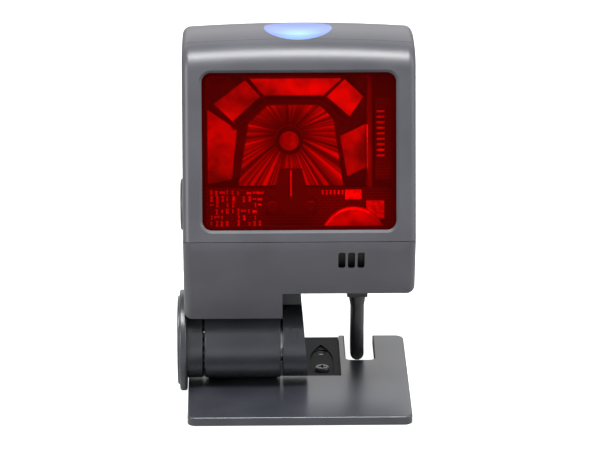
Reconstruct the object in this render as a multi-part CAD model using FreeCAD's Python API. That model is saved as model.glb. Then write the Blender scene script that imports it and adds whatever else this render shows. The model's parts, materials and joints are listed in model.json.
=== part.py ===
"""Hands-free counter scanner: an optical head that tilts on a hinge barrel above a flat base plate.

Row frame in millimetres: +Z up, +X to the right, and the red window looks towards -Y.
The origin is the centre of the base plate's footprint, on the surface that the scanner stands on.
The head is modelled upright, in coordinates (x, b, s) round the hinge axis: b goes back and s goes up.
place_head leans it back to its rest angle and carries it to the hinge.
"""

import FreeCAD
import Part

import math
import os

V = FreeCAD.Vector

# ---------------------------------------------------------------- base plate and what lies under it
BASE_WIDTH = 76.0
BASE_DEPTH = 73.6
BASE_THICK = 3.0
BASE_CORNER = 3.0
BASE_EDGE_ROUND = 0.6
PAD_THICK = 0.4  # rubber sheet that the plate stands on
PAD_MARGIN = 2.4
RIM_WALL = 2.0  # plastic left round the steel sheet
WEIGHT_THICK = 1.2
NOTCH_WIDTH = 10.1  # open slot at the back for the lead
NOTCH_FRONT = 13.9  # where the slot ends, in front of the hanging lead
NOTCH_X = 21.95
NOTCH_ROUND = 2.0
FOOT_LEFT = -34.0
FOOT_RIGHT = 14.8
FOOT_FRONT = -0.6
FOOT_SINK = 0.8  # top of the bracket's foot below the top of the plate
FIT = 0.1  # clearance round a piece that drops into a recess
POCKET_X = 8.4  # bullet-shaped pocket beside the hinge
POCKET_WIDTH = 8.2
POCKET_FRONT = 3.3
POCKET_BACK = 29.7
POCKET_FLOOR = 0.5  # metal left under the pocket
COUNTER_HOLE_R = 2.2
COUNTER_HOLE_PITCH = 32.8
COUNTER_HOLE_Y = 24.0
PAD_HOLE_MARGIN = 1.5  # how much wider the pad's holes are than the counter holes
POST_BACK = 11.0  # back of the bracket's post behind the hinge axis
POST_SCREW_BACK = 6.5
POST_SCREW_SPREAD = 7.0
POST_SCREW_HEAD_R = 2.6
POST_SCREW_RISE = 4.5  # how far those screws reach above the plate
CLAMP_R = 1.2  # screw at the front of the pocket
CLAMP_HEAD_R = 2.5
CLAMP_BACK = 4.6

# ---------------------------------------------------------------- hinge
AXIS_Y = -1.6
AXIS_Z = 17.5
HEAD_LEAN = 15.0  # degrees that the head leans back at rest
BARREL_R = 13.0
BARREL_LEFT = -32.2
BARREL_RIGHT = -6.3
HINGE_GAP = 0.8
LEFT_DISC_R = 17.4
DISC_PROUD = 1.8  # how far the left disc stands out of the head's side
DISC_THICK = 2.5
ARM_R = 12.7
ARM_TOP_WIDTH = 6.2
ARM_FOOT_WIDTH = 8.6
NECK_FRONT = -3.0  # neck that joins the right arm to the head
NECK_BACK = 8.5
BOLT_R = 2.5
RUN_CLEAR = 0.05  # radial running clearance on the bolt
CAP_R = 15.3
CAP_THICK = 0.7
COIN_SLOT_WIDTH = 2.2
COIN_SLOT_LENGTH = 22.0
NUT_FLATS = 8.0
NUT_THICK = 4.0
NUT_SINK = 2.9  # outer face of the nut below the arm's outer face
SPRING_R = 7.4
RING_INSET = 0.8  # toothed rings' rim inside the barrel's rim
RING_BORE_R = 8.0
RING_FLANGE = 0.15
TOOTH_WIDTH = 1.1
DETENT_TEETH = 24
DETENT_LIFT = 0.1  # the toothed rings are drawn this far apart

# ---------------------------------------------------------------- head shell
HEAD_WIDTH = 78.0
FACE_B = -34.5
BACK_B = 21.5
WALL = 2.0
CREASE_S = 36.6  # where the face ends and the chin starts
BEZEL_LOW_S = 36.9  # lower edge of the front bezel
CREST_S = 109.2
CREST_B = -4.0
DOME_R = 58.8
CROWN_R = 585.0
FRONT_ROUND = 9.0
REAR_ROUND = 7.0
SIDE_ROUND = 2.8
BOTTOM_S = 18.3
LOBE_S = 9.2
LOBE_FRONT_B = -17.0
LOBE_BACK_B = 13.0
LOBE_RIGHT = -5.7
CHIN_BULGE = 0.8
BARREL_ROOM = 2.0  # from the barrel's surface to the shell round it
SEAM_B = -27.5
SEAM = 0.18
WINDOW_WIDTH = 64.8
WINDOW_LOW = 40.7
WINDOW_HIGH = 93.3
WINDOW_CORNER = 3.2
WINDOW_BEVEL = 0.9
PANE_SET_BACK = 1.2
PANE_THICK = 2.0
PANE_LAP = 1.0
GASKET_THICK = 1.0
GASKET_SHOW = 1.2
VENT_X = 17.4
VENT_S = 30.3
VENT_WIDTH = 2.4
VENT_HEIGHT = 5.4
VENT_PITCH = 3.2
POST_INSET = 5.4  # screw posts in from the head's sides
POST_S = 96.0
POST_R = 3.2
COUNTERBORE_R = 2.3
SCREW_R = 1.3

# ---------------------------------------------------------------- indicator, button and lead socket
LENS_R = 11.6
LENS_B = -16.5
LENS_THICK = 3.2
LENS_CLEAR = 0.08
LENS_FLANGE = 1.4
LED_SPREAD = 4.5
DISH_R = 62.0
DISH_DEPTH = 1.1
BUTTON_R = 9.0
BUTTON_B = -5.0
BUTTON_S = 47.3
BUTTON_PROUD = 1.2
BUTTON_TRAVEL = 0.8
BUTTON_CLEAR = 0.15
SOCKET_X = 20.8
SOCKET_B = 15.5
SOCKET_WIDTH = 12.0
SOCKET_DEPTH = 8.6
SOCKET_TOP = 34.0
PLUG_WIDTH = 7.1
PLUG_DEPTH = 5.6
PLUG_LOW = 10.0
PLUG_HIGH = 26.0

# ---------------------------------------------------------------- optics
OPTICS_LEFT = -33.0
OPTICS_RIGHT = 24.6
OPTICS_LOW = 54.0
OPTICS_HIGH = 92.5
OPTICS_FRONT = -21.0
OPTICS_BACK = 15.0
OPTICS_WALL = 1.3
MIRROR_THICK = 1.0
MIRROR_B = -8.0
EYE_X = -3.0  # laser tube in the middle of the collecting mirror
EYE_S = 69.0
EYE_R = 4.8
EYE_BORE_R = 3.3
EYE_FRONT = -9.0
EYE_BACK = 11.0
DISH_MIRROR_R = 60.0
DISH_MIRROR_THICK = 1.4
DISH_MIRROR_BACK = 6.0
HOOD_FRONT = -9.5
HOOD_DEPTH = 6.5
TEE_FRONT = -18.6  # T-shaped bracket below the laser
TEE_THICK = 1.6
TEE_SCREW_X = (-9.0, 4.0)
TEE_SCREW_S = 47.4
TEE_SCREW_R = 0.9
TEE_SCREW_LENGTH = 3.2
SPIN_X = -2.6
SPIN_B = -1.0
SPIN_S = 44.2
SPIN_R = 8.0
SPIN_SIDES = 6
SPIN_HEIGHT = 4.6
MOTOR_R = 7.2
MOTOR_HEIGHT = 4.6
SHAFT_R = 1.0
BOARD_THICK = 1.2
BOARD_B = -14.6
BOARD_INSET_LEFT = 7.0  # board's ends in from the head's sides
BOARD_INSET_RIGHT = 8.0
BOARD_TOP = 53.4
PARTS_X = -29.4  # first of the rows of soldered parts
PARTS_S = 41.6
PARTS_COLUMNS = 8
PARTS_ROWS = 5
PARTS_PITCH_X = 2.25
PARTS_PITCH_S = 2.45
SIDE_BOARD_LEFT = 26.0
SIDE_BOARD_B = -20.0
SIDE_BOARD_LOW = 57.0
SIDE_BOARD_HIGH = 84.0
CONNECTOR_LOW = 63.2
CONNECTOR_HIGH = 81.0
CONNECTOR_WAYS = 9
CONNECTOR_PITCH = 1.86
BEEPER_X = 18.4
BEEPER_S = 36.4
BEEPER_R = 11.0
BEEPER_FRONT = -23.0
BEEPER_BACK = -17.4

# ---------------------------------------------------------------- lead
CORD_R = 2.4
COIL_X = -3.0
COIL_Y = 138.0
COIL_MEAN_R = 25.3
COIL_COLUMNS = 4
COIL_LAYERS = 3
COIL_LIFT = 0.6  # the tie's strap passes under the coil
TIE_ANGLE = 250.0
TIE_WIDTH = 9.0
USB_LENGTH = 30.0
USB_WIDTH = 15.6
USB_THICK = 8.0
SHELL_LENGTH = 12.5
SHELL_WIDTH = 12.0
SHELL_THICK = 4.5
SHELL_WALL = 0.35
BOOT_NECK = 3.0  # round neck below the plug's square body
TIE_GAP = 0.05
# the lead from the plug's boot down to the counter and back to the coil, chosen by hand
DROP_ROUTE = [
    (20.8, 15.95, 23.12),
    (20.78, 15.07, 19.83),
    (20.7, 15.0, 15.0),
    (20.7, 15.65, 11.0),
    (20.75, 16.7, 7.2),
    (20.9, 18.6, 4.1),
    (21.05, 21.6, 2.4),
    (21.2, 27.87, 2.4),
]
RUN_ROUTE = [
    (21.2, 27.87, 2.4),
    (21.65, 38.4, 2.4),
    (22.2, 57.0, 2.4),
    (23.5, 84.0, 2.4),
    (26.6, 106.0, 2.5),
    (29.2, 124.0, 2.9),
]
# from the top of the coil to the plug that lies on it
TAIL_ROUTE = [
    (24.2, 132.4, 14.6),
    (24.6, 139.4, 16.8),
    (21.6, 146.2, 18.6),
    (15.8, 150.8, 19.2),
    (8.6, 152.6, 19.2),
]

# ---------------------------------------------------------------- worked out from the sizes above
PLATE_LOW = PAD_THICK
PLATE_TOP = PAD_THICK + BASE_THICK
STEEL_TOP = PLATE_LOW + WEIGHT_THICK
FOOT_TOP = PLATE_TOP - FOOT_SINK
POST_SCREW_Y = AXIS_Y + POST_SCREW_BACK
CLAMP_Y = POCKET_FRONT + CLAMP_BACK
HALF_W = HEAD_WIDTH / 2
POST_X = HALF_W - POST_INSET
LEFT_DISC_OUT = -HALF_W - DISC_PROUD
LEFT_DISC_IN = LEFT_DISC_OUT + DISC_THICK
HALF_BASE_X = BASE_WIDTH / 2
HALF_BASE_Y = BASE_DEPTH / 2
HUB_RIGHT = BARREL_LEFT - HINGE_GAP
ARM_LEFT = BARREL_RIGHT + HINGE_GAP
ARM_OUT = ARM_LEFT + ARM_FOOT_WIDTH
PANE_FRONT = FACE_B + PANE_SET_BACK
PANE_BACK = PANE_FRONT + PANE_THICK
WINDOW_S = (WINDOW_LOW + WINDOW_HIGH) / 2
WINDOW_HEIGHT = WINDOW_HIGH - WINDOW_LOW
FAR = 200.0

nodes = {}


def keep(name, shape):
    """Stores a finished piece under its node name."""
    nodes[name] = shape


# ================================================================ helpers
def box(x0, x1, y0, y1, z0, z1):
    return Part.makeBox(x1 - x0, y1 - y0, z1 - z0, V(x0, y0, z0))


def block(x, y, z, wide, deep, high):
    """A box given by its centre and size."""
    return box(x - wide / 2, x + wide / 2, y - deep / 2, y + deep / 2, z - high / 2, z + high / 2)


def cyl_x(radius, x0, x1, y=0.0, z=0.0):
    return Part.makeCylinder(radius, x1 - x0, V(x0, y, z), V(1, 0, 0))


def cyl_y(radius, y0, y1, x=0.0, z=0.0):
    return Part.makeCylinder(radius, y1 - y0, V(x, y0, z), V(0, 1, 0))


def cyl_z(radius, z0, z1, x=0.0, y=0.0):
    return Part.makeCylinder(radius, z1 - z0, V(x, y, z0), V(0, 0, 1))


def runs_along(edge, axis):
    """True for a straight edge along the named axis."""
    size = edge.BoundBox
    spans = {"x": size.XLength, "y": size.YLength, "z": size.ZLength}
    return all((span > 1e-6) == (name == axis) for name, span in spans.items())


def fillet(shape, radius, pick):
    """Rounds the edges that pick(edge) chooses."""
    return shape.makeFillet(radius, [e for e in shape.Edges if pick(e)])


def round_upright(shape, radius):
    return fillet(shape, radius, lambda e: runs_along(e, "z"))


def rounded_window(width, height, corner, y0, y1, z):
    """A block with rounded corners as seen from the front."""
    shape = box(-width / 2, width / 2, y0, y1, z - height / 2, z + height / 2)
    return fillet(shape, corner, lambda e: runs_along(e, "y"))


def hexagon(flats, x0, x1):
    """A hexagonal bar along X."""
    corner = flats / math.sqrt(3)
    turns = [math.radians(60 * i) for i in range(7)]
    ring = Part.makePolygon([V(x0, corner * math.cos(t), corner * math.sin(t)) for t in turns])
    return Part.Face(ring).extrude(V(x1 - x0, 0, 0))


def pan_screw(length, shank_r, head_r, head_h):
    """A pan-head screw along -Z with its head above z = 0 and a cross recess."""
    head = cyl_z(head_r, 0, head_h)
    head = fillet(head, head_h * 0.5, lambda e: e.Closed and e.BoundBox.ZMin > head_h - 1e-6)
    arm, wide = head_r * 1.1, head_r * 0.3
    cross = block(0, 0, head_h, arm, wide, head_h).fuse(block(0, 0, head_h, wide, arm, head_h))
    return head.cut(cross).fuse(cyl_z(shank_r, -length, 0))


def place_head(shape):
    """Leans a piece of the head back and carries it to the hinge axis."""
    moved = shape.copy()
    moved.rotate(V(0, 0, 0), V(1, 0, 0), -HEAD_LEAN)
    moved.translate(V(0, AXIS_Y, AXIS_Z))
    return moved


def place_axis(shape):
    """Carries a piece made round the hinge axis to it."""
    moved = shape.copy()
    moved.translate(V(0, AXIS_Y, AXIS_Z))
    return moved


# ================================================================ base
def notch(grow=0.0):
    """The open slot for the lead, grown all round."""
    half = NOTCH_WIDTH / 2 + grow
    front = NOTCH_FRONT - grow
    slot = box(NOTCH_X - half, NOTCH_X + half, front, HALF_BASE_Y + 5, -1, PLATE_TOP + 1)
    return round_upright(slot, NOTCH_ROUND + grow)


def counter_holes(radius):
    """The two holes for screws into the counter."""
    holes = [cyl_z(radius, -1, PLATE_TOP + 1, x, COUNTER_HOLE_Y) for x in counter_hole_x()]
    return holes[0].fuse(holes[1])


def counter_hole_x():
    return (POCKET_X - COUNTER_HOLE_PITCH, POCKET_X)


def bracket_screw_x():
    """Screws from below into the bracket's post."""
    middle = (BARREL_LEFT + BARREL_RIGHT) / 2
    return (middle - POST_SCREW_SPREAD, middle + POST_SCREW_SPREAD)


def make_base():
    plate = box(-HALF_BASE_X, HALF_BASE_X, -HALF_BASE_Y, HALF_BASE_Y, PLATE_LOW, PLATE_TOP)
    plate = round_upright(plate, BASE_CORNER).cut(notch())
    plate = fillet(plate, BASE_EDGE_ROUND, lambda e: e.BoundBox.ZMin > PLATE_TOP - 1e-6)
    steel_x, steel_y = HALF_BASE_X - RIM_WALL, HALF_BASE_Y - RIM_WALL
    steel = box(-steel_x, steel_x, -steel_y, steel_y, PLATE_LOW, STEEL_TOP)
    steel = round_upright(steel, BASE_CORNER - 1).cut(notch(RIM_WALL))
    recess = box(
        FOOT_LEFT - FIT, FOOT_RIGHT + FIT, FOOT_FRONT - FIT, HALF_BASE_Y + 1, STEEL_TOP, PLATE_TOP + 1
    )
    keep("base_plate", plate.cut(steel).cut(recess))

    for x in bracket_screw_x():
        steel = steel.cut(cyl_z(SCREW_R, 0, PLATE_TOP, x, POST_SCREW_Y))
        sink = Part.makeCone(POST_SCREW_HEAD_R + FIT, SCREW_R, 1.0, V(x, POST_SCREW_Y, PLATE_LOW))
        steel = steel.cut(sink)
    steel = steel.cut(counter_holes(COUNTER_HOLE_R)).cut(cyl_z(CLAMP_R, 0, PLATE_TOP, POCKET_X, CLAMP_Y))
    keep("steel_weight", steel)

    pad_x, pad_y = HALF_BASE_X - PAD_MARGIN, HALF_BASE_Y - PAD_MARGIN
    pad = round_upright(box(-pad_x, pad_x, -pad_y, pad_y, 0, PAD_THICK), BASE_CORNER)
    pad = pad.cut(notch(PAD_MARGIN)).cut(counter_holes(COUNTER_HOLE_R + PAD_HOLE_MARGIN))
    keep("underside_pad", pad)


def bullet_pocket(z0, z1):
    """A pocket with a pointed, rounded back end."""
    half = POCKET_WIDTH / 2
    shoulder = POCKET_FRONT + (POCKET_BACK - POCKET_FRONT) * 0.42
    low_l, low_r = V(POCKET_X - half, POCKET_FRONT, z0), V(POCKET_X + half, POCKET_FRONT, z0)
    mid_l, mid_r = V(POCKET_X - half, shoulder, z0), V(POCKET_X + half, shoulder, z0)
    tip = V(POCKET_X, POCKET_BACK, z0)
    bow = shoulder + (POCKET_BACK - shoulder) * 0.6
    edges = [
        Part.LineSegment(low_l, low_r).toShape(),
        Part.LineSegment(low_r, mid_r).toShape(),
        Part.Arc(mid_r, V(POCKET_X + half * 0.68, bow, z0), tip).toShape(),
        Part.Arc(tip, V(POCKET_X - half * 0.68, bow, z0), mid_l).toShape(),
        Part.LineSegment(mid_l, low_l).toShape(),
    ]
    return Part.Face(Part.Wire(edges)).extrude(V(0, 0, z1 - z0))


def make_bracket():
    foot = box(FOOT_LEFT, FOOT_RIGHT, FOOT_FRONT, HALF_BASE_Y, STEEL_TOP, FOOT_TOP)
    foot = foot.cut(bullet_pocket(STEEL_TOP + POCKET_FLOOR, PLATE_TOP)).cut(counter_holes(COUNTER_HOLE_R))
    foot = foot.cut(cyl_z(CLAMP_R, 0, PLATE_TOP, POCKET_X, CLAMP_Y))
    barrel = fillet(cyl_x(BARREL_R, BARREL_LEFT, BARREL_RIGHT), 0.4, lambda e: e.Closed)
    barrel = place_axis(barrel)
    post = box(BARREL_LEFT + 1, BARREL_RIGHT - 1, FOOT_FRONT, AXIS_Y + POST_BACK, STEEL_TOP, AXIS_Z - 6)
    bracket = foot.fuse([post, barrel])
    bracket = bracket.cut(place_axis(cyl_x(BOLT_R + RUN_CLEAR, BARREL_LEFT - 1, BARREL_RIGHT + 1)))
    for x in bracket_screw_x():
        bracket = bracket.cut(cyl_z(SCREW_R, 0, PLATE_TOP + POST_SCREW_RISE + 0.5, x, POST_SCREW_Y))
    keep("hinge_bracket", bracket.removeSplitter())

    screws = []
    for x in bracket_screw_x():
        head = Part.makeCone(POST_SCREW_HEAD_R, SCREW_R, 0.95, V(x, POST_SCREW_Y, PLATE_LOW + 0.05))
        slot = block(x, POST_SCREW_Y, PLATE_LOW, 3.4, 0.6, 0.9)
        shank = cyl_z(SCREW_R, PLATE_LOW + 0.5, PLATE_TOP + POST_SCREW_RISE, x, POST_SCREW_Y)
        screws.append(head.cut(slot).fuse(shank))
    keep("bracket_screws", Part.makeCompound(screws))
    clamp = pan_screw(WEIGHT_THICK + POCKET_FLOOR - 0.2, CLAMP_R, CLAMP_HEAD_R, 1.2)
    clamp.translate(V(POCKET_X, CLAMP_Y, STEEL_TOP + POCKET_FLOOR))
    keep("foot_screw", clamp)

    spring = cyl_x(SPRING_R, BARREL_RIGHT, ARM_LEFT - 0.06).cut(cyl_x(BOLT_R + 0.4, -60, 60))
    keep("spring_washer", place_axis(spring))


def toothed_ring(x_back, x_face, x_tip):
    """A flat ring with radial teeth standing out of one face, from x_face to x_tip."""
    lean = 1 if x_tip > x_face else -1
    low, high = min(x_back, x_face), max(x_back, x_face)
    rim = BARREL_R - RING_INSET
    ring = cyl_x(rim, low, high).cut(cyl_x(RING_BORE_R, low - 1, high + 1))
    teeth = []
    for i in range(DETENT_TEETH):
        half = TOOTH_WIDTH / 2
        tooth = box(min(x_face, x_tip), max(x_face, x_tip), -half, half, RING_BORE_R + 0.6, rim - 0.2)
        tooth.translate(V(-0.02 * lean, 0, 0))
        tooth.rotate(V(0, 0, 0), V(1, 0, 0), i * 360.0 / DETENT_TEETH)
        teeth.append(tooth)
    return ring.fuse(teeth)


def make_detents():
    middle = (HUB_RIGHT + BARREL_LEFT) / 2
    moving = toothed_ring(HUB_RIGHT, HUB_RIGHT + RING_FLANGE, middle - DETENT_LIFT / 2)
    keep("moving_detent_ring", place_head(moving))
    fixed = toothed_ring(BARREL_LEFT, BARREL_LEFT - RING_FLANGE, middle + DETENT_LIFT / 2)
    keep("fixed_detent_ring", place_axis(fixed))


def make_arms():
    bore = cyl_x(BOLT_R + RUN_CLEAR, -60, 60)
    disc = fillet(cyl_x(LEFT_DISC_R, LEFT_DISC_OUT, LEFT_DISC_IN), 0.7, lambda e: e.Closed)
    hub = cyl_x(BARREL_R, LEFT_DISC_IN - 0.5, HUB_RIGHT)
    hub = fillet(hub, 0.35, lambda e: e.Closed and e.BoundBox.XMin > HUB_RIGHT - 1e-6)
    tab = box(-HALF_W + WALL + 0.1, HUB_RIGHT - 0.4, -6.0, 6.0, BARREL_R - 3, BOTTOM_S + 8)
    left = disc.fuse([hub, tab]).cut(bore)
    keep("left_hinge_arm", place_head(left.removeSplitter()))

    disc = cyl_x(ARM_R, ARM_LEFT, ARM_OUT)
    disc = fillet(disc, 0.4, lambda e: e.Closed and e.BoundBox.XMax < ARM_LEFT + 1e-6)
    neck = box(ARM_LEFT, ARM_OUT, NECK_FRONT, NECK_BACK, 0, BOTTOM_S + 9)
    arm = disc.fuse(neck)
    top_x = ARM_LEFT + ARM_TOP_WIDTH
    slope = Part.makePolygon(
        [
            V(ARM_OUT, -30, -ARM_R),
            V(top_x, -30, BOTTOM_S),
            V(top_x, -30, BOTTOM_S + 20),
            V(top_x + 30, -30, BOTTOM_S + 20),
            V(top_x + 30, -30, -ARM_R),
            V(ARM_OUT, -30, -ARM_R),
        ]
    )
    arm = arm.cut(Part.Face(slope).extrude(V(0, 60, 0)))
    mark = box(ARM_LEFT + 3.0, ARM_LEFT + 4.7, -ARM_R - 0.25, -ARM_R + 1, 0.5, 5.5)
    nut_left = ARM_OUT - NUT_THICK - NUT_SINK
    arm = arm.fuse(mark).cut(bore).cut(hexagon(NUT_FLATS + 2 * FIT, nut_left - FIT, ARM_OUT + 1))
    keep("right_hinge_arm", place_head(arm.removeSplitter()))
    nut = hexagon(NUT_FLATS, nut_left, nut_left + NUT_THICK).cut(bore)
    keep("hinge_nut", place_head(nut))


def make_tension_screw():
    cap = cyl_x(CAP_R, LEFT_DISC_OUT - CAP_THICK - 0.05, LEFT_DISC_OUT - 0.05)
    cap = fillet(cap, CAP_THICK * 0.8, lambda e: e.Closed and e.BoundBox.XMax < LEFT_DISC_OUT - CAP_THICK)
    slot = block(LEFT_DISC_OUT - CAP_THICK, 0, 0, CAP_THICK, COIN_SLOT_LENGTH, COIN_SLOT_WIDTH)
    shank = cyl_x(BOLT_R, LEFT_DISC_OUT - 0.3, ARM_OUT - 2.4)
    keep("tension_screw", place_head(cap.cut(slot).fuse(shank).removeSplitter()))


# ================================================================ head shell
def dome_s(b, inset):
    return CREST_S - DOME_R + math.sqrt((DOME_R - inset) ** 2 - (b - CREST_B) ** 2)


def head_block(inset):
    """The head as one solid, or its hollow when inset is the wall."""
    face, back, low = FACE_B + inset, BACK_B - inset, LOBE_S + inset
    half = HALF_W - inset
    level = WINDOW_HIGH - 8.0
    crease = V(-half, face, CREASE_S)
    lip = V(-half, LOBE_FRONT_B + inset * 1.18, low)
    middle = (crease + lip) * 0.5 + V(0, -0.84, -0.54) * CHIN_BULGE
    edges = [
        Part.LineSegment(crease, V(-half, face, level)).toShape(),
        Part.LineSegment(V(-half, face, level), V(-half, back, level)).toShape(),
        Part.LineSegment(V(-half, back, level), V(-half, back, low)).toShape(),
        Part.LineSegment(V(-half, back, low), lip).toShape(),
        Part.Arc(lip, middle, crease).toShape(),
    ]
    body = Part.Face(Part.Wire(edges)).extrude(V(2 * half, 0, 0))

    front_top, rear_top = V(0, face, dome_s(face, inset)), V(0, back, dome_s(back, inset))
    under = level - 15
    edges = [
        Part.Arc(front_top, V(0, CREST_B, CREST_S - inset), rear_top).toShape(),
        Part.LineSegment(rear_top, V(0, back, under)).toShape(),
        Part.LineSegment(V(0, back, under), V(0, face, under)).toShape(),
        Part.LineSegment(V(0, face, under), front_top).toShape(),
    ]
    top = Part.Face(Part.Wire(edges))
    top.rotate(V(0, 0, CREST_S - CROWN_R), V(0, 1, 0), -6)
    top = top.revolve(V(0, 0, CREST_S - CROWN_R), V(0, 1, 0), 12)
    top = top.common(box(-half, half, -FAR, FAR, under, FAR))
    body = body.fuse(top).removeSplitter()

    def top_edge(e, b):
        return e.BoundBox.XLength > half and abs(e.BoundBox.YMin - b) < 1e-4 and e.BoundBox.ZMin > level

    body = fillet(body, FRONT_ROUND - inset, lambda e: top_edge(e, face))
    body = fillet(body, REAR_ROUND - inset, lambda e: top_edge(e, back))
    body = body.cut(box(-FAR, FAR, LOBE_BACK_B - inset, FAR, -FAR, BOTTOM_S + inset))
    body = body.cut(box(LOBE_RIGHT - inset, FAR, -FAR, FAR, -FAR, BOTTOM_S + inset))
    side = max(SIDE_ROUND - inset, 0.6)
    body = fillet(
        body, side, lambda e: e.BoundBox.XLength < 1e-4 and abs(abs(e.BoundBox.XMax) - half) < 1e-4
    )
    return body.cut(cyl_x(BARREL_R + BARREL_ROOM + inset, -FAR, LOBE_RIGHT + 1))


def seats_in_shell():
    """Room in the shell for the two arms."""
    left = cyl_x(LEFT_DISC_R + FIT, LEFT_DISC_OUT - 5, LEFT_DISC_IN + FIT)
    tab = box(-HALF_W + WALL, HUB_RIGHT - 0.3, -6.1, 6.1, 0, BOTTOM_S + 8.1)
    low, high = NECK_FRONT - FIT, NECK_BACK + FIT
    neck = box(ARM_LEFT - FIT, ARM_LEFT + ARM_TOP_WIDTH + FIT, low, high, 0, BOTTOM_S + 9 + FIT)
    return left.fuse([tab, neck])


def window_opening(grow, b0, b1):
    corner = WINDOW_CORNER + grow
    return rounded_window(WINDOW_WIDTH + 2 * grow, WINDOW_HEIGHT + 2 * grow, corner, b0, b1, WINDOW_S)


def make_shell():
    outer, hollow = head_block(0.0), head_block(WALL)
    lens_hole = cyl_z(LENS_R, CREST_S - 12, CREST_S + 5, 0, LENS_B)
    shell = outer.cut(hollow)
    front_zone = box(-FAR, FAR, -FAR, SEAM_B, BEZEL_LOW_S, FAR)
    ledge = box(-FAR, FAR, FACE_B + WALL, FAR, BEZEL_LOW_S + WALL, FAR)
    bezel = outer.common(front_zone).cut(hollow.common(ledge))
    opening = window_opening(0.0, FACE_B - 1, FACE_B + WALL + 1)
    bezel = bezel.cut(opening).cut(window_opening(PANE_LAP + FIT, PANE_FRONT, FACE_B + WALL + 1))
    bezel = bezel.cut(lens_hole)

    def opening_edge(e):
        on_face = abs(e.BoundBox.YMax - FACE_B) < 1e-4
        return on_face and abs(e.CenterOfMass.x) < WINDOW_WIDTH / 2 + 0.1 and (
            abs(e.CenterOfMass.z - WINDOW_S) < WINDOW_HEIGHT / 2 + 0.1
        )

    bezel = bezel.makeChamfer(WINDOW_BEVEL, [e for e in bezel.Edges if opening_edge(e)])
    for side in (-1, 1):
        post = cyl_y(POST_R - 0.4, FACE_B + WALL - 0.5, -22.0, side * POST_X, POST_S)
        bezel = bezel.fuse(post).cut(cyl_y(SCREW_R, FACE_B + WALL + 1, 0, side * POST_X, POST_S))
    keep("front_bezel", place_head(bezel.removeSplitter()))

    cut_zone = box(-FAR, FAR, -FAR, SEAM_B + SEAM, BEZEL_LOW_S - SEAM, FAR)
    housing = shell.cut(cut_zone)
    for side in (-1, 1):
        housing = housing.fuse(cyl_y(POST_R, -21.9, BACK_B - 0.5, side * POST_X, POST_S))
    housing = housing.cut(seats_in_shell()).cut(lens_hole)
    for side in (-1, 1):
        housing = housing.cut(cyl_y(COUNTERBORE_R, -10, BACK_B + 1, side * POST_X, POST_S))
        housing = housing.cut(cyl_y(SCREW_R, -30, 0, side * POST_X, POST_S))
    housing = housing.cut(
        cyl_x(BUTTON_R + BUTTON_CLEAR, -HALF_W - 5, -HALF_W + WALL + 2, BUTTON_B, BUTTON_S)
    )
    for i in (-1, 0, 1):
        slot = block(VENT_X + i * VENT_PITCH, FACE_B + 6, VENT_S, VENT_WIDTH, 12, VENT_HEIGHT)
        housing = housing.cut(fillet(slot, VENT_WIDTH * 0.3, lambda e: runs_along(e, "y")))
    socket_hole = block(SOCKET_X, SOCKET_B, BOTTOM_S, SOCKET_WIDTH + 2 * FIT, SOCKET_DEPTH + 2 * FIT, 12)
    housing = housing.cut(socket_hole)
    keep("rear_housing", place_head(housing.removeSplitter()))

    pane = window_opening(PANE_LAP, PANE_FRONT, PANE_BACK)
    pane = fillet(pane, 0.3, lambda e: e.BoundBox.YMax < PANE_FRONT + 1e-4)
    keep("scan_window", place_head(pane))
    gasket = window_opening(PANE_LAP - 0.2, PANE_BACK, PANE_BACK + GASKET_THICK)
    gasket = gasket.cut(window_opening(-GASKET_SHOW, PANE_BACK - 1, PANE_BACK + GASKET_THICK + 1))
    keep("window_gasket", place_head(gasket))

    screws = []
    for side in (-1, 1):
        one = pan_screw(18.0, SCREW_R, COUNTERBORE_R - 0.2, 1.8)
        one.rotate(V(0, 0, 0), V(1, 0, 0), -90)
        one.translate(V(side * POST_X, -10, POST_S))
        screws.append(one)
    keep("housing_screws", place_head(Part.makeCompound(screws)))
    return outer


def make_indicator(outer):
    slope = math.asin((LENS_B - CREST_B) / DOME_R)
    surface = V(0, LENS_B, dome_s(LENS_B, 0.0))
    normal = V(0, math.sin(slope), math.cos(slope))
    low = surface.z - LENS_THICK - 2.5
    lens = cyl_z(LENS_R - LENS_CLEAR, low, CREST_S + 5, 0, LENS_B).common(outer)
    dish = Part.makeSphere(DISH_R, surface + normal * (DISH_R - DISH_DEPTH))
    lens = lens.cut(dish)
    flange = cyl_z(LENS_R + LENS_FLANGE, low - 1.2, low, 0, LENS_B)
    lens = lens.fuse(flange.common(box(-FAR, FAR, SEAM_B + SEAM, FAR, 0, FAR)))
    lens = lens.cut(cyl_z(LENS_R - 2.4, low - 2, surface.z - LENS_THICK - 1.2, 0, LENS_B))
    keep("indicator_lens", place_head(lens.removeSplitter()))
    board_s = low - 2.0
    board = block(0, LENS_B, board_s, 24, 20, BOARD_THICK)
    keep("indicator_board", place_head(board))
    led_s = board_s + BOARD_THICK / 2 + 0.8
    leds = [block(x, LENS_B, led_s, 3.2, 2.8, 1.6) for x in (-LED_SPREAD, LED_SPREAD)]
    keep("indicator_leds", place_head(Part.makeCompound(leds)))


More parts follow.
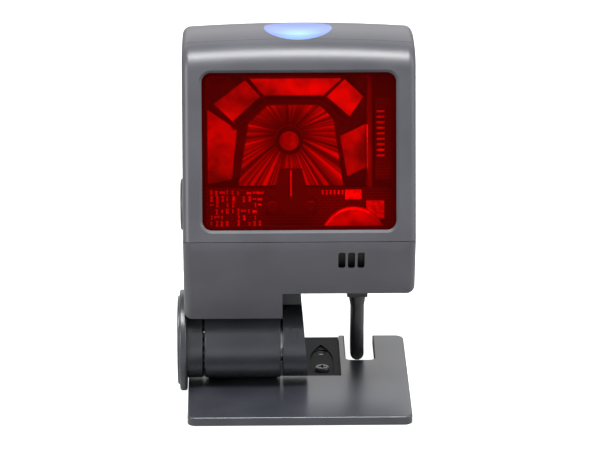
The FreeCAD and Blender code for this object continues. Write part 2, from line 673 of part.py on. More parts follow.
def make_button():
    out, inner = -HALF_W - BUTTON_PROUD, -HALF_W + WALL
    button = cyl_x(BUTTON_R, out, inner, BUTTON_B, BUTTON_S)
    button = fillet(button, 1.0, lambda e: e.Closed and e.BoundBox.XMax < out + 1e-4)
    dip = Part.makeSphere(40.0, V(out - 40.0 + 0.5, BUTTON_B, BUTTON_S))
    button = button.cut(dip)
    button = button.fuse(cyl_x(2.0, inner - 0.5, inner + 1.2, BUTTON_B, BUTTON_S))
    keep("side_button", place_head(button))
    plate_x = inner + 1.2 + BUTTON_TRAVEL + 0.1
    plunger = cyl_x(1.6, plate_x, plate_x + 0.8, BUTTON_B, BUTTON_S)
    switch = plunger.fuse(block(plate_x + 1.9, BUTTON_B, BUTTON_S, 2.2, 6.0, 6.0))
    keep("button_switch", place_head(switch))


# ================================================================ inside the head
def tilted_plate(outline, slope_x, slope_s):
    """A flat mirror whose outline is given as seen from the front, leaning by its two slopes."""
    mid_x = sum(p[0] for p in outline) / len(outline)
    mid_s = sum(p[1] for p in outline) / len(outline)
    corners = [V(x, MIRROR_B + (x - mid_x) * slope_x + (s - mid_s) * slope_s, s) for x, s in outline]
    normal = V(-slope_x, 1, -slope_s).normalize()
    return Part.Face(Part.makePolygon(corners + corners[:1])).extrude(normal * MIRROR_THICK)


# outline as seen from the front, in x and s, then the lean along x and along s
MIRRORS = {
    "pattern_mirror_top": (
        [(-16.5, 90.3), (15.0, 90.3), (7.4, 83.2), (-10.4, 83.2)], 0.0, -0.36,
    ),
    "pattern_mirror_upper_left": (
        [(-28.6, 81.8), (-18.0, 89.8), (-11.6, 82.8), (-21.0, 74.4)], 0.26, -0.26,
    ),
    "pattern_mirror_upper_right": (
        [(8.6, 82.8), (16.0, 90.0), (22.2, 84.0), (16.8, 76.0)], -0.26, -0.26,
    ),
    "pattern_mirror_left": (
        [(-30.8, 79.8), (-20.8, 72.8), (-22.6, 56.0), (-30.8, 54.6)], 0.34, 0.06,
    ),
    "pattern_mirror_right": (
        [(14.4, 70.4), (22.9, 74.6), (22.9, 60.0), (16.8, 56.8)], -0.34, 0.06,
    ),
}
# the collecting mirror's bell, and the rim round its top from outside to inside
BELL = [(-10.2, 81.6), (7.2, 81.6), (12.4, 75.5), (15.6, 53.0), (-20.4, 53.0), (-16.6, 75.5)]
HOOD = [
    (-20.6, 74.0), (-10.8, 82.4), (7.8, 82.4), (17.0, 74.8),
    (15.6, 73.6), (7.2, 81.2), (-10.2, 81.2), (-19.4, 72.8),
]
# the laser's bracket, as seen from the front
TEE = [
    (-11.4, 44.8), (6.4, 44.8), (6.4, 50.6), (2.6, 52.0), (1.2, 60.4),
    (-6.4, 60.4), (-7.8, 52.0), (-11.4, 50.6),
]
TEE_RIB = (-3.0, -2.2, 50.6, 60.0)  # left, right, low and high


def front_plate(outline, b, thick):
    """A flat piece whose outline is given in x and s, from depth b backwards."""
    corners = [V(x, b, s) for x, s in outline + outline[:1]]
    return Part.Face(Part.makePolygon(corners)).extrude(V(0, thick, 0))


def make_optics():
    tray = box(OPTICS_LEFT, OPTICS_RIGHT, OPTICS_FRONT, OPTICS_BACK, OPTICS_LOW, OPTICS_HIGH)
    tray = tray.cut(
        box(
            OPTICS_LEFT + OPTICS_WALL,
            OPTICS_RIGHT - OPTICS_WALL,
            OPTICS_FRONT - 1,
            OPTICS_BACK - OPTICS_WALL,
            OPTICS_LOW - 1,
            OPTICS_HIGH - OPTICS_WALL,
        )
    )
    keep("optical_chassis", place_head(tray))
    for name, (outline, slope_x, slope_s) in MIRRORS.items():
        keep(name, place_head(tilted_plate(outline, slope_x, slope_s)))

    # the collecting mirror is a bell-shaped piece of a hollow sphere
    centre = V(EYE_X, DISH_MIRROR_BACK - DISH_MIRROR_R, EYE_S)
    ball = Part.makeSphere(DISH_MIRROR_R + DISH_MIRROR_THICK, centre)
    dish = ball.cut(Part.makeSphere(DISH_MIRROR_R, centre))
    dish = dish.common(front_plate(BELL, -FAR, 2 * FAR)).common(box(-FAR, FAR, -10, FAR, 0, FAR))
    dish = dish.cut(cyl_y(EYE_R, -FAR, FAR, EYE_X, EYE_S))
    keep("collecting_mirror", place_head(dish))
    keep("collector_hood", place_head(front_plate(HOOD, HOOD_FRONT, HOOD_DEPTH)))

    tube = cyl_y(EYE_R - 0.02, EYE_FRONT, EYE_BACK, EYE_X, EYE_S)
    tube = fillet(tube, 0.4, lambda e: e.Closed and e.BoundBox.YMax < EYE_FRONT + 0.1)
    tube = tube.cut(cyl_y(EYE_BORE_R, EYE_FRONT - 1, EYE_BACK - 7, EYE_X, EYE_S))
    keep("laser_tube", place_head(tube))
    lens = cyl_y(EYE_BORE_R, EYE_FRONT + 1.8, EYE_FRONT + 3.4, EYE_X, EYE_S)
    bulge = Part.makeSphere(9.0, V(EYE_X, EYE_FRONT + 9.9, EYE_S))
    lens = lens.fuse(bulge.common(cyl_y(EYE_BORE_R, EYE_FRONT, EYE_FRONT + 3.0, EYE_X, EYE_S)))
    keep("laser_lens", place_head(lens.removeSplitter()))


def make_laser_bracket():
    """A T-shaped bracket screwed in front of the board, with a bright rib up its middle."""
    left, right, low, high = TEE_RIB
    tee = front_plate(TEE, TEE_FRONT, TEE_THICK)
    tee = tee.fuse(box(left, right, TEE_FRONT - 1.0, TEE_FRONT + 0.2, low, high))
    for x in TEE_SCREW_X:
        tee = tee.cut(cyl_y(TEE_SCREW_R, -30, 0, x, TEE_SCREW_S))
    keep("laser_bracket", place_head(tee.removeSplitter()))
    screws = []
    for x in TEE_SCREW_X:
        one = pan_screw(TEE_SCREW_LENGTH, TEE_SCREW_R, 1.9, 1.0)
        one.rotate(V(0, 0, 0), V(1, 0, 0), 90)
        one.translate(V(x, TEE_FRONT, TEE_SCREW_S))
        screws.append(one)
    keep("laser_bracket_screws", place_head(Part.makeCompound(screws)))


def make_boards():
    low = CREASE_S + WALL + 0.6
    left, right = -HALF_W + BOARD_INSET_LEFT, HALF_W - BOARD_INSET_RIGHT
    board = box(left, right, BOARD_B, BOARD_B + BOARD_THICK, low, BOARD_TOP)
    for x in TEE_SCREW_X:
        board = board.cut(cyl_y(TEE_SCREW_R, -30, 0, x, TEE_SCREW_S))
    keep("main_board", place_head(board))
    parts = []
    for i in range(PARTS_COLUMNS):
        for j in range(PARTS_ROWS):
            if (i * 3 + j * 5) % 4 == 3:
                continue
            tall = 1.9 if (i + j) % 3 else 1.2
            wide = 0.9 if (i + 2 * j) % 3 else 1.3
            x, s = PARTS_X + i * PARTS_PITCH_X, PARTS_S + j * PARTS_PITCH_S
            parts.append(block(x, BOARD_B - 0.5, s, wide, 1.0, tall))
    for i in range(5):
        parts.append(block(8.6 + i * 1.5, BOARD_B - 0.4, BOARD_TOP - 1.5, 0.8, 0.8, 1.3))
    keep("board_parts", place_head(Part.makeCompound(parts)))
    chips = [
        block(18.6, BOARD_B - 0.7, BOARD_TOP - 2.2, 5.6, 1.4, 3.2),
        block(26.0, BOARD_B - 0.7, BOARD_TOP - 7.4, 6.0, 1.4, 6.0),
    ]
    keep("board_chips", place_head(Part.makeCompound(chips)))

    side = box(
        SIDE_BOARD_LEFT, SIDE_BOARD_LEFT + 5, SIDE_BOARD_B, SIDE_BOARD_B + BOARD_THICK,
        SIDE_BOARD_LOW, SIDE_BOARD_HIGH,
    )
    keep("side_board", place_head(side))
    left, front = SIDE_BOARD_LEFT, SIDE_BOARD_B - 2.2
    strip = box(left, left + 2.6, front, SIDE_BOARD_B, CONNECTOR_LOW, CONNECTOR_HIGH)
    for i in range(CONNECTOR_WAYS):
        low = CONNECTOR_LOW + 1.2 + i * CONNECTOR_PITCH
        strip = strip.cut(box(left - 1, left + 2, front - 1, front + 1, low, low + 0.9))
    keep("side_connector", place_head(strip))
    clips = [block(x, OPTICS_FRONT - 1.0, OPTICS_HIGH - 0.9, 4.2, 2.0, 1.8) for x in (-20.8, 16.2)]
    keep("mirror_clips", place_head(Part.makeCompound(clips)))

    beeper = fillet(
        cyl_y(BEEPER_R, BEEPER_FRONT, BEEPER_BACK, BEEPER_X, BEEPER_S), 0.8, lambda e: e.Closed
    )
    beeper = beeper.cut(cyl_y(1.2, BEEPER_FRONT - 1, BEEPER_FRONT + 1.5, BEEPER_X, BEEPER_S))
    keep("beeper", place_head(beeper))


def make_spinner():
    """The many-sided mirror on its little motor, below the laser tube."""
    corner = SPIN_R / math.cos(math.pi / SPIN_SIDES)
    ring = []
    for i in range(SPIN_SIDES + 1):
        t = 2 * math.pi * i / SPIN_SIDES
        ring.append(V(SPIN_X + corner * math.cos(t), SPIN_B + corner * math.sin(t), SPIN_S))
    wheel = Part.Face(Part.makePolygon(ring)).extrude(V(0, 0, SPIN_HEIGHT))
    shaft = cyl_z(SHAFT_R, SPIN_S - 5.0, SPIN_S + SPIN_HEIGHT + 0.8, SPIN_X, SPIN_B)
    keep("spinning_mirror", place_head(wheel.cut(cyl_z(SHAFT_R, 0, FAR, SPIN_X, SPIN_B))))
    keep("spinner_shaft", place_head(shaft))
    motor = cyl_z(MOTOR_R, SPIN_S - 0.6 - MOTOR_HEIGHT, SPIN_S - 0.6, SPIN_X, SPIN_B)
    motor = motor.cut(cyl_z(SHAFT_R + RUN_CLEAR, 0, FAR, SPIN_X, SPIN_B))
    keep("spinner_motor", place_head(motor))
    plate_top = SPIN_S - 0.6 - MOTOR_HEIGHT
    plate = block(SPIN_X, 0.0, plate_top - 0.5, 24, 26, 1.0)
    keep("motor_plate", place_head(plate.cut(cyl_z(SHAFT_R + 0.6, 0, FAR, SPIN_X, SPIN_B))))


def make_socket():
    socket = box(
        SOCKET_X - SOCKET_WIDTH / 2,
        SOCKET_X + SOCKET_WIDTH / 2,
        SOCKET_B - SOCKET_DEPTH / 2,
        BACK_B - WALL - 0.05,
        BOTTOM_S + 0.2,
        SOCKET_TOP,
    )
    socket = socket.common(block(SOCKET_X, SOCKET_B, BOTTOM_S, SOCKET_WIDTH, SOCKET_DEPTH, 100))
    middle, height = (PLUG_LOW + PLUG_HIGH) / 2, PLUG_HIGH - PLUG_LOW
    cavity = block(SOCKET_X, SOCKET_B, middle, PLUG_WIDTH + FIT, PLUG_DEPTH + FIT, height)
    keep("lead_socket", place_head(socket.cut(cavity)))


# ================================================================ lead
def tube(route):
    """A round tube along straight runs that are joined by tangent arcs as large as the runs allow."""
    points = [V(*p) for p in route]
    edges, start, radii = [], points[0], []
    for before, here, after in zip(points, points[1:], points[2:]):
        back, ahead = before - here, after - here
        short = min(back.Length, ahead.Length)
        turn = math.pi - back.getAngle(ahead)
        radius = 0.45 * short / math.tan(turn / 2)
        radii.append(round(radius, 1))
        a, c = here + back.normalize() * 0.45 * short, here + ahead.normalize() * 0.45 * short
        bisector = ((a + c) * 0.5 - here).normalize()
        mid = here + bisector * (radius / math.cos(turn / 2) - radius)
        edges += [Part.LineSegment(start, a).toShape(), Part.Arc(a, mid, c).toShape()]
        start = c
    edges.append(Part.LineSegment(start, points[-1]).toShape())
    path = Part.Wire(edges)
    ring = Part.Wire(Part.makeCircle(CORD_R, points[0], points[1] - points[0]))
    solid = path.makePipeShell([ring], True, False)
    print("tube length", round(path.Length, 1), "smallest bend", min(radii))
    return solid


def make_lead():
    boot_s, boot_height = (PLUG_LOW + BOOT_NECK + PLUG_HIGH) / 2, PLUG_HIGH - PLUG_LOW - BOOT_NECK
    boot = block(SOCKET_X, SOCKET_B, boot_s, PLUG_WIDTH, PLUG_DEPTH, boot_height)
    neck = Part.makeCone(CORD_R, CORD_R + 0.6, BOOT_NECK + 0.2, V(SOCKET_X, SOCKET_B, PLUG_LOW))
    keep("lead_plug", place_head(boot.fuse(neck).removeSplitter()))
    keep("lead_drop", tube(DROP_ROUTE))
    keep("lead_run", tube(RUN_ROUTE))

    spread = COIL_COLUMNS * CORD_R
    height = COIL_LAYERS * 2 * CORD_R
    coil = cyl_z(COIL_MEAN_R + spread, COIL_LIFT, COIL_LIFT + height, COIL_X, COIL_Y)
    coil = coil.cut(cyl_z(COIL_MEAN_R - spread, -1, FAR, COIL_X, COIL_Y))
    keep("lead_coil", fillet(coil, CORD_R * 0.9, lambda e: e.Closed))
    keep("lead_tail", tube(TAIL_ROUTE))

    gap, strap = TIE_GAP, COIL_LIFT
    inner, outer = COIL_MEAN_R - spread, COIL_MEAN_R + spread
    band = cyl_z(outer + strap, 0, height + 2 * strap).cut(cyl_z(inner - strap, -1, FAR))
    room = cyl_z(outer + gap, strap - gap, height + strap + gap).cut(cyl_z(inner - gap, -1, FAR))
    tie = band.cut(room).common(box(0, FAR, -TIE_WIDTH / 2, TIE_WIDTH / 2, 0, FAR))
    tie.rotate(V(0, 0, 0), V(0, 0, 1), TIE_ANGLE)
    tie.translate(V(COIL_X, COIL_Y, 0))
    keep("lead_tie", tie)

    end, before = V(*TAIL_ROUTE[-1]), V(*TAIL_ROUTE[-2])
    heading = math.degrees(math.atan2(end.y - before.y, end.x - before.x))
    body = box(0, USB_LENGTH, -USB_WIDTH / 2, USB_WIDTH / 2, -USB_THICK / 2, USB_THICK / 2)
    body = fillet(body, 1.6, lambda e: runs_along(e, "x"))
    half_w, half_t = SHELL_WIDTH / 2, SHELL_THICK / 2
    shell = box(USB_LENGTH, USB_LENGTH + SHELL_LENGTH, -half_w, half_w, -half_t, half_t)
    in_w, in_t = half_w - SHELL_WALL, half_t - SHELL_WALL
    hollow = box(USB_LENGTH + 1, FAR, -in_w, in_w, -in_t, in_t)
    for name, shape in (("usb_plug", body), ("usb_shell", shell.cut(hollow))):
        shape.rotate(V(0, 0, 0), V(0, 0, 1), heading)
        shape.translate(end)
        keep(name, shape)


make_base()
make_bracket()
make_detents()
make_arms()
make_tension_screw()
make_indicator(make_shell())
make_button()
make_optics()
make_laser_bracket()
make_boards()
make_spinner()
make_socket()
make_lead()

os.makedirs("parts", exist_ok=True)
for name, shape in nodes.items():
    shape.exportStep(f"parts/{name}.step")
    print(name, "solids", len(shape.Solids), "volume", round(shape.Volume, 1), "valid", shape.isValid())
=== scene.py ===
# %% [markdown]
# # A hands-free counter scanner
# This is a laser scanner for a shop counter. A head with a red window leans on a hinge over a small foot
# plate, and its lead drops from under the head through a slot in the plate. The design arrives as a fixed
# frame: every shell, hinge piece and circuit board already has its real shape, size and place. This
# notebook gives those pieces soft edges and believable finishes, winds the lead, and lights the whole on a
# pale counter. Positions come from the frame wherever the frame holds them.

import json
import math
import random

import bmesh
import bpy
from mathutils import Matrix, Vector


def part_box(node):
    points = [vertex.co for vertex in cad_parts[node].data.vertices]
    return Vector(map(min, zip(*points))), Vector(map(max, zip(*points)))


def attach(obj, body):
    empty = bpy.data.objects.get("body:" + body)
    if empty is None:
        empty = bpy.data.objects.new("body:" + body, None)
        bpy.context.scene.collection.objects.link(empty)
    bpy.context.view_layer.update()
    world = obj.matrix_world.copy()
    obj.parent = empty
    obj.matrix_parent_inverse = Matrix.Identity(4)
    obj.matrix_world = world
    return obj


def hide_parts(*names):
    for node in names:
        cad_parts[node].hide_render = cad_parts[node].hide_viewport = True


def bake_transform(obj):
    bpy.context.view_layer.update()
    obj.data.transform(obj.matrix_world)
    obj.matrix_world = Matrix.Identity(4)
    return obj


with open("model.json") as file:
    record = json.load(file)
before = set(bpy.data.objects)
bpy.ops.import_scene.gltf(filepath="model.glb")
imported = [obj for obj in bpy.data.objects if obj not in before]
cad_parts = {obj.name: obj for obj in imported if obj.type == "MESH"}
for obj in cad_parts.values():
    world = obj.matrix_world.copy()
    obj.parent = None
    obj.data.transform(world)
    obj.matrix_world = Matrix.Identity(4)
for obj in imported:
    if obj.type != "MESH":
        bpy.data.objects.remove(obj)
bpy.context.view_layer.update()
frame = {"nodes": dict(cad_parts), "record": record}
record = frame["record"]
BODY_OF = {node: body for body, names in record["behaviour"]["bodies"].items() for node in names}
SLOT_OF = {entry["node"]: entry["material_slot"] for entry in record["subparts"]}
JOINTS = {joint["name"]: joint for joint in record["behaviour"]["joints"]}
MM = 0.001

# %% [markdown]
# ## The leaning head's own directions
# The head leans back about its hinge, and it is easier to think of its inside as if it stood upright. The
# lean could be typed in as an angle, but the spinning mirror's axis already points along the head's
# height. So the frame itself says how far the head leans, and one matrix takes upright head coordinates
# to their real place.

# %% Head coordinates
HINGE = Vector(JOINTS["head_tilt"]["pos_m"])
ACROSS = Vector((1, 0, 0))
HEAD_UP = Vector(JOINTS["mirror_spin"]["axis"]).normalized()
HEAD_BACK = HEAD_UP.cross(ACROSS)
HEAD_BACK = HEAD_BACK if HEAD_BACK.y > 0 else -HEAD_BACK
HEAD_AXES = Matrix((ACROSS, HEAD_BACK, HEAD_UP)).transposed()
TO_ROW = Matrix.Translation(HINGE) @ HEAD_AXES.to_4x4()


def head_point(x, back, up):
    """The real place of a point of the upright head, given in millimetres from the hinge axis."""
    return TO_ROW @ (Vector((x, back, up)) * MM)


print("head leans back", round(math.degrees(math.atan2(HEAD_UP.y, HEAD_UP.z)), 1), "degrees")

# %% [markdown]
# ## Camera
# A short lens close by would make the plate's front edge bulge. A long lens from a metre away flattens the
# perspective, as in a catalogue picture. It looks down by twenty degrees, which is nearly square on to the
# leaning window.

# %% Set the camera
AIM = Vector((0.00055, 0.0, 0.0588))
CAMERA_PIVOT = Vector((0, 0, 0.060))
CAMERA_DISTANCE = 1.104
CAMERA_AZIMUTH = math.radians(-0.93)
CAMERA_PITCH = math.radians(20.0)
LENS_MM = 194.3
SENSOR_MM = 36.0

camera_data = bpy.data.cameras.new("camera")
camera_data.lens = LENS_MM
camera_data.sensor_width = SENSOR_MM
camera = bpy.data.objects.new("camera", camera_data)
bpy.context.scene.collection.objects.link(camera)
away = Vector((
    math.sin(CAMERA_AZIMUTH) * math.cos(CAMERA_PITCH),
    -math.cos(CAMERA_AZIMUTH) * math.cos(CAMERA_PITCH),
    math.sin(CAMERA_PITCH),
))
camera.location = CAMERA_PIVOT + away * CAMERA_DISTANCE
camera.rotation_euler = (AIM - camera.location).to_track_quat("-Z", "Y").to_euler()
bpy.context.scene.camera = camera
bpy.context.scene.view_settings.view_transform = "Standard"
print("camera at", [round(v, 3) for v in camera.location])

# %% [markdown]
# ## A finish as a small recipe
# Moulded plastic, rubber and plated steel look alike to a shader: the colour is gently mottled and the
# surface slightly rough. Each could have its own node tree, but one helper that builds them all keeps the
# finishes related. Two close colours are blended by a broad noise, the same noise varies the roughness, and
# a fine noise raises the grain. Scales are in features per metre, because Object coordinates are metres.

# %% The finish helper
BLEND_FROM = 0.35
BLEND_TO = 0.65
BROAD_DETAIL = 4.0
GRAIN_DETAIL = 3.0
GRAIN_DEPTH = 0.0002


def colour_ramp(tree, first, last, *between):
    """A colour ramp. Each stop is a position and a colour."""
    ramp = tree.nodes.new("ShaderNodeValToRGB")
    stops = ramp.color_ramp.elements
    stops[0].position, stops[1].position = first[0], last[0]
    stops[0].color, stops[1].color = (*first[1], 1), (*last[1], 1)
    for position, colour in between:
        stops.new(position).color = (*colour, 1)
    return ramp


def finish_recipe(name, dark, light, rough, mottle=60.0, rough_spread=0.06, grain=2500.0, bump=0.05,
                  **sockets):
    """A mottled, finely grained material. Returns the material and its main shader."""
    material = bpy.data.materials.new(name)
    material.use_nodes = True
    tree = material.node_tree
    shader = tree.nodes["Principled BSDF"]
    place = tree.nodes.new("ShaderNodeTexCoord")

    def noise(scale, detail):
        node = tree.nodes.new("ShaderNodeTexNoise")
        node.inputs["Scale"].default_value = scale
        node.inputs["Detail"].default_value = detail
        tree.links.new(place.outputs["Object"], node.inputs["Vector"])
        return node

    broad = noise(mottle, BROAD_DETAIL)
    colours = colour_ramp(tree, (BLEND_FROM, dark), (BLEND_TO, light))
    tree.links.new(broad.outputs["Fac"], colours.inputs["Fac"])
    tree.links.new(colours.outputs["Color"], shader.inputs["Base Color"])

    spread = tree.nodes.new("ShaderNodeMapRange")
    spread.inputs["To Min"].default_value = rough - rough_spread
    spread.inputs["To Max"].default_value = rough + rough_spread
    tree.links.new(broad.outputs["Fac"], spread.inputs["Value"])
    tree.links.new(spread.outputs["Result"], shader.inputs["Roughness"])

    fine = noise(grain, GRAIN_DETAIL)
    relief = tree.nodes.new("ShaderNodeBump")
    relief.inputs["Strength"].default_value = bump
    relief.inputs["Distance"].default_value = GRAIN_DEPTH
    tree.links.new(fine.outputs["Fac"], relief.inputs["Height"])
    tree.links.new(relief.outputs["Normal"], shader.inputs["Normal"])
    for socket, value in sockets.items():
        shader.inputs[socket.replace("_", " ")].default_value = value
    return material, shader


# %% [markdown]
# ## Plastics and rubbers
# The shells are charcoal ABS with a fine spark-eroded grain, the stand a smoother and slightly bluer
# plastic, and the lead a satin PVC. They could be told apart by strong differences in colour, but in real
# black plastics it is the roughness that the eye reads, so that differs more here than the colour does.

# %% Make the plastics
FINISH = {}


def add_finish(slot, *values, **extra):
    FINISH[slot] = finish_recipe(slot, *values, **extra)[0]


add_finish("shell_plastic", (0.034, 0.034, 0.041), (0.041, 0.041, 0.049), 0.40, grain=3200.0, bump=0.14)
add_finish("stand_plastic", (0.017, 0.018, 0.023), (0.023, 0.024, 0.030), 0.30, grain=2600.0, bump=0.05)
add_finish("button_plastic", (0.026, 0.026, 0.032), (0.033, 0.033, 0.040), 0.36, bump=0.05)
add_finish("pad_rubber", (0.012, 0.012, 0.012), (0.022, 0.022, 0.022), 0.80, bump=0.3)
add_finish("lead_rubber", (0.012, 0.012, 0.014), (0.018, 0.018, 0.021), 0.38, mottle=180.0, bump=0.04)
add_finish("tie_plastic", (0.010, 0.010, 0.011), (0.018, 0.018, 0.020), 0.55, mottle=300.0, bump=0.25)
add_finish("gasket_rubber", (0.003, 0.003, 0.003), (0.006, 0.006, 0.006), 0.55, bump=0.1)
add_finish("inner_plastic", (0.004, 0.004, 0.004), (0.010, 0.010, 0.010), 0.50, mottle=200.0, bump=0.1)
add_finish("component_ceramic", (0.30, 0.24, 0.18), (0.70, 0.62, 0.50), 0.40, mottle=900.0, bump=0.1)
print(len(FINISH), "plastics, rubbers and ceramics")

# %% [markdown]
# ## Metals
# The weight and most screws are zinc-plated, the hinge screw is blackened, the beeper is brass and the
# mirrors have a metal coat. Each could be a separate kind of shader, but a metal is the same recipe with
# the metallic socket at one. Blackening hides the metal, so there the socket stays at zero.

# %% Make the metals
add_finish("steel", (0.50, 0.51, 0.53), (0.66, 0.67, 0.69), 0.32, mottle=500.0, Metallic=1.0)
add_finish("blackened_steel", (0.020, 0.020, 0.026), (0.030, 0.030, 0.038), 0.34, mottle=160.0,
           Metallic=0.0)
add_finish("brass", (0.55, 0.40, 0.18), (0.90, 0.70, 0.36), 0.38, mottle=260.0, Metallic=1.0)
add_finish("motor_metal", (0.55, 0.55, 0.57), (0.70, 0.70, 0.72), 0.30, mottle=400.0, Metallic=1.0)
add_finish("mirror_glass", (0.16, 0.16, 0.16), (0.86, 0.86, 0.86), 0.13, mottle=75.0,
           rough_spread=0.08, bump=0.0, Metallic=1.0)
print(len(FINISH), "finishes with the metals")


# %% [markdown]
# ## Circuit board
# A lacquered board shows its copper tracks as slightly lighter lines under the lacquer. Hundreds of thin
# modelled lines would do it too. A brick pattern with thin mortar gives the same broken, right-angled look
# for the price of one node, and through the red window nobody sees more.

# %% Make the board
TRACKS_PER_METRE = 260.0
TRACK_WIDTH = 0.03


def make_board():
    """A green lacquered board with lighter tracks. The boards stand upright, so the pattern is turned."""
    material, shader = finish_recipe("board", (0.010, 0.06, 0.03), (0.016, 0.09, 0.04), 0.40, bump=0.02)
    tree = material.node_tree
    place = tree.nodes.new("ShaderNodeTexCoord")
    turn = tree.nodes.new("ShaderNodeMapping")
    turn.inputs["Rotation"].default_value = (math.radians(90), 0, 0)
    bricks = tree.nodes.new("ShaderNodeTexBrick")
    bricks.inputs["Scale"].default_value = TRACKS_PER_METRE
    bricks.inputs["Mortar Size"].default_value = TRACK_WIDTH
    bricks.inputs["Color1"].default_value = (0.008, 0.06, 0.03, 1)
    bricks.inputs["Color2"].default_value = (0.014, 0.08, 0.04, 1)
    bricks.inputs["Mortar"].default_value = (0.07, 0.16, 0.08, 1)
    tree.links.new(place.outputs["Object"], turn.inputs["Vector"])
    tree.links.new(turn.outputs["Vector"], bricks.inputs["Vector"])
    tree.links.new(bricks.outputs["Color"], shader.inputs["Base Color"])
    return material


FINISH["board"] = make_board()
print("board has", TRACKS_PER_METRE, "tracks per metre")


# %% [markdown]
# ## Red window and clear glass
# The window is red acrylic. Glass with real absorption needs many light bounces and stays noisy. So it is
# made as a tinted see-through shader under a glossy coat: the tint acts once on the way in and once on the
# way out, as the real pane does.

# %% Make the see-through finishes
PANE_ROUGHNESS = 0.07


def tinted_pane(name, tint, gloss, coat_share):
    """A see-through material. coat_share is how much of it is the glossy coat."""
    material, shader = finish_recipe(name, gloss, gloss, PANE_ROUGHNESS, rough_spread=0.01, bump=0.0)
    tree = material.node_tree
    clear = tree.nodes.new("ShaderNodeBsdfTransparent")
    clear.inputs["Color"].default_value = (*tint, 1)
    mix = tree.nodes.new("ShaderNodeMixShader")
    mix.inputs["Fac"].default_value = coat_share
    output = tree.nodes["Material Output"]
    tree.links.new(clear.outputs["BSDF"], mix.inputs[1])
    tree.links.new(shader.outputs["BSDF"], mix.inputs[2])
    tree.links.new(mix.outputs["Shader"], output.inputs["Surface"])
    return material


FINISH["red_window"] = tinted_pane("red_window", (0.97, 0.010, 0.008), (0.30, 0.0, 0.0), 0.04)
FINISH["laser_glass"] = tinted_pane("laser_glass", (0.9, 0.9, 0.9), (0.5, 0.5, 0.5), 0.25)
print("two see-through finishes")


# %% [markdown]
# ## Fluted mirror with painted streaks
# The collecting mirror is moulded with fine flutes that fan out from the laser's tube. Modelled flutes
# would need many thousands of faces. Here the angle round the tube drives a one-dimensional noise in the
# mirror's
# colour: the flutes are real, and their light and dark streaks, crisp at any distance, are painted
# reflection.

# %% Make the mirror's painted flute streaks
TUBE_FACE = head_point(-3.0, 0.0, 69.0)
FLUTE_SCALE = 7.0
FLUTE_DETAIL = 6.0
FLUTE_ROUGHNESS = 0.7


def make_mirror_with_painted_streaks():
    """A mirror whose colour changes with the angle round the laser's tube: painted reflection streaks of
    its flutes.
    """
    material, shader = finish_recipe("mirror_painted_reflection_streaks", (0.5, 0.5, 0.5), (0.8, 0.8, 0.8), 0.22, bump=0.0,
                                     Metallic=1.0)
    tree = material.node_tree
    place = tree.nodes.new("ShaderNodeTexCoord")
    centred = tree.nodes.new("ShaderNodeVectorMath")
    centred.operation = "SUBTRACT"
    centred.inputs[1].default_value = TUBE_FACE
    split = tree.nodes.new("ShaderNodeSeparateXYZ")
    angle = tree.nodes.new("ShaderNodeMath")
    angle.operation = "ARCTAN2"
    flutes = tree.nodes.new("ShaderNodeTexNoise")
    flutes.noise_dimensions = "1D"
    flutes.inputs["Scale"].default_value = FLUTE_SCALE
    flutes.inputs["Detail"].default_value = FLUTE_DETAIL
    flutes.inputs["Roughness"].default_value = FLUTE_ROUGHNESS
    # Painted reflection: the ramp turns the flute noise into light and dark streaks in the mirror's colour.
    ramp = colour_ramp(tree, (0.40, (0.10, 0.10, 0.10)), (0.66, (1.0, 1.0, 1.0)))
    tree.links.new(place.outputs["Object"], centred.inputs[0])
    tree.links.new(centred.outputs["Vector"], split.inputs["Vector"])
    tree.links.new(split.outputs["X"], angle.inputs[0])
    tree.links.new(split.outputs["Z"], angle.inputs[1])
    tree.links.new(angle.outputs["Value"], flutes.inputs["W"])
    tree.links.new(flutes.outputs["Fac"], ramp.inputs["Fac"])
    tree.links.new(ramp.outputs["Color"], shader.inputs["Base Color"])
    return material


STREAK_PAINTED_MIRROR = make_mirror_with_painted_streaks()
print("flutes fan out from", [round(v, 4) for v in TUBE_FACE])


# %% [markdown]
# ## Indicator lens
# The indicator is a frosted lens on top of the head with small light sources under it. Real lamps under
# frosted plastic take long to clear of noise, so the lens itself glows. The glow is palest in the middle
# and turns to deep blue at the back rim, so its colour follows the distance from a point a little in
# front of the lens's middle.

# %% Make the indicator's glow
LENS_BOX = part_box("indicator_lens")
LENS_MIDDLE = (Vector(LENS_BOX[0]) + Vector(LENS_BOX[1])) / 2
GLOW_CENTRE = LENS_MIDDLE + Vector((0, -0.0055, 0.001))
GLOW_NEAR = 0.002
GLOW_FAR = 0.0165
GLOW_STRENGTH = 0.75


def make_glow():
    """Frosted plastic that glows from pale in its middle to deep blue at its rim."""
    material, shader = finish_recipe("frosted_lens", (0.03, 0.05, 0.12), (0.04, 0.06, 0.14), 0.30,
                                     bump=0.03)
    tree = material.node_tree
    place = tree.nodes.new("ShaderNodeTexCoord")
    offset = tree.nodes.new("ShaderNodeVectorMath")
    offset.operation = "DISTANCE"
    offset.inputs[1].default_value = GLOW_CENTRE
    span = tree.nodes.new("ShaderNodeMapRange")
    span.inputs["From Min"].default_value = GLOW_NEAR
    span.inputs["From Max"].default_value = GLOW_FAR
    ramp = colour_ramp(tree, (0.0, (0.40, 0.85, 1.0)), (1.0, (0.006, 0.02, 0.14)),
                       (0.45, (0.16, 0.27, 0.85)))
    tree.links.new(place.outputs["Object"], offset.inputs[0])
    tree.links.new(offset.outputs["Value"], span.inputs["Value"])
    tree.links.new(span.outputs["Result"], ramp.inputs["Fac"])
    tree.links.new(ramp.outputs["Color"], shader.inputs["Emission Color"])
    shader.inputs["Emission Strength"].default_value = GLOW_STRENGTH
    return material


FINISH["frosted_lens"] = make_glow()
print(len(FINISH), "finishes in all")


# %% [markdown]
# ## Adding a piece
# Every finished piece needs the same four things: a place in the scene, a finish, the body that it rides
# on, and the framed nodes that it stands for. Written out for each piece that would be long and easy to get
# wrong, so one helper does it.

